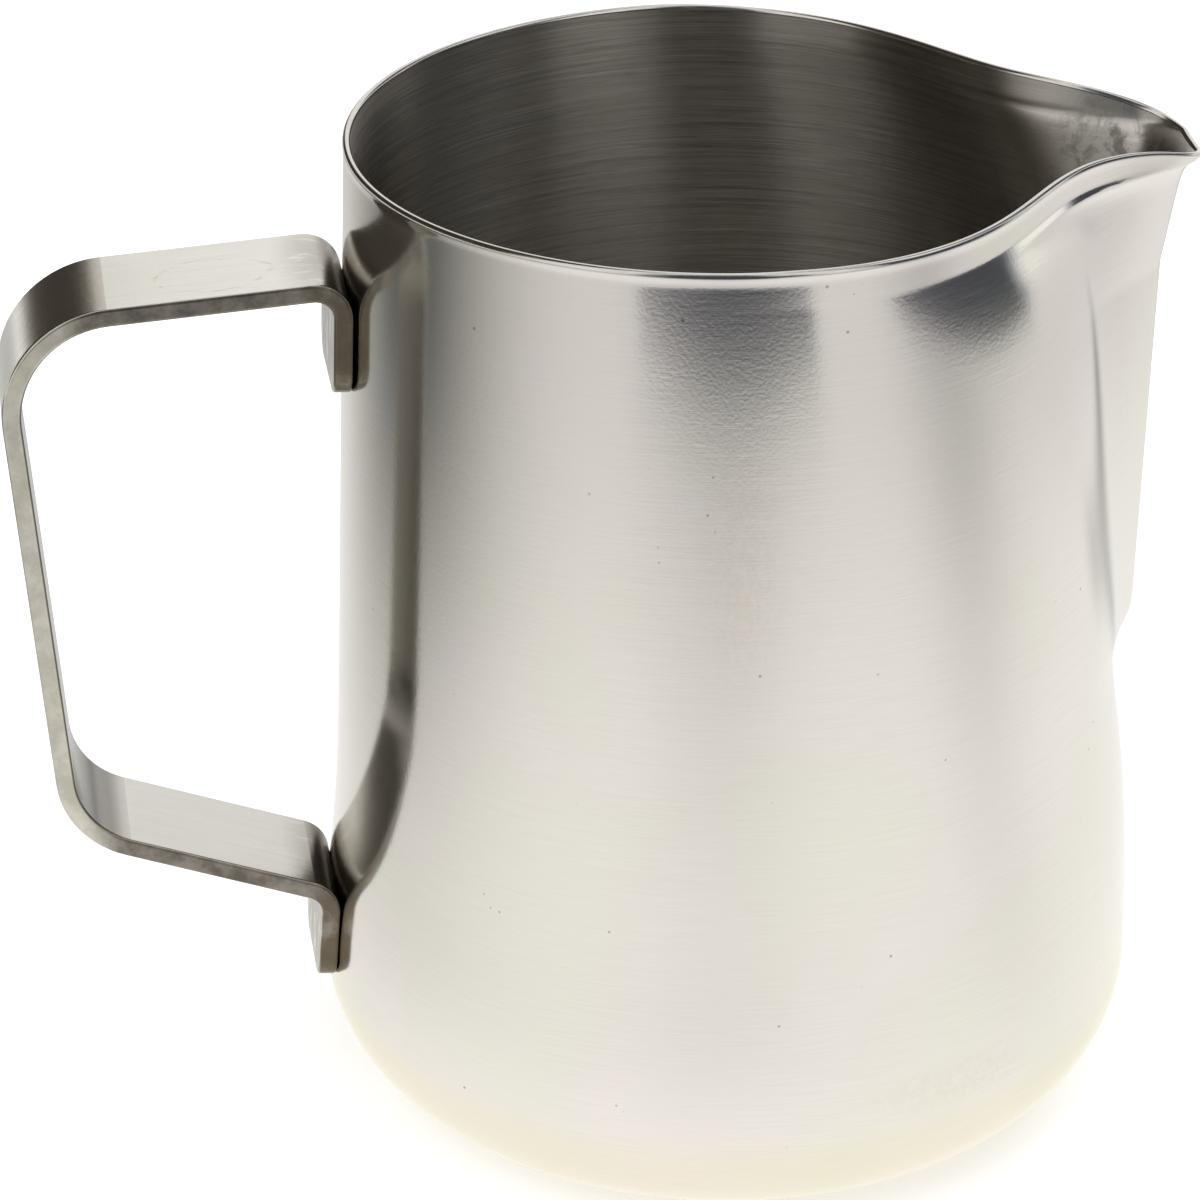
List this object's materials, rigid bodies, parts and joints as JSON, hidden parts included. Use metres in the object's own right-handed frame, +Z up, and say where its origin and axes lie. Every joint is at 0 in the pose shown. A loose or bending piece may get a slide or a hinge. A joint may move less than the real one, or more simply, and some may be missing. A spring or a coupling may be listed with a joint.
{
  "type": "milk frothing pitcher",
  "caption": "Steel milk frothing pitcher: a rounded open jug with a pulled pouring spout and a bent flat-bar handle welded to its wall.",
  "frame": {"origin": "centre of the flat underside, on the round body's axis", "axes": "+Z up, +X out through the spout, handle towards -X, Y across"},
  "size_m": [0.1264, 0.089, 0.1089],
  "materials": {
    "body_steel": "polished, finely brushed round the wall",
    "handle_steel": "polished faces with satin edges",
    "weld_steel": "fused, dull"
  },
  "bodies": {
    "root": {"pitcher_body": "body_steel", "handle": "handle_steel", "upper_weld_nuggets": "weld_steel", "lower_weld_nuggets": "weld_steel"}
  },
  "joints": []
}
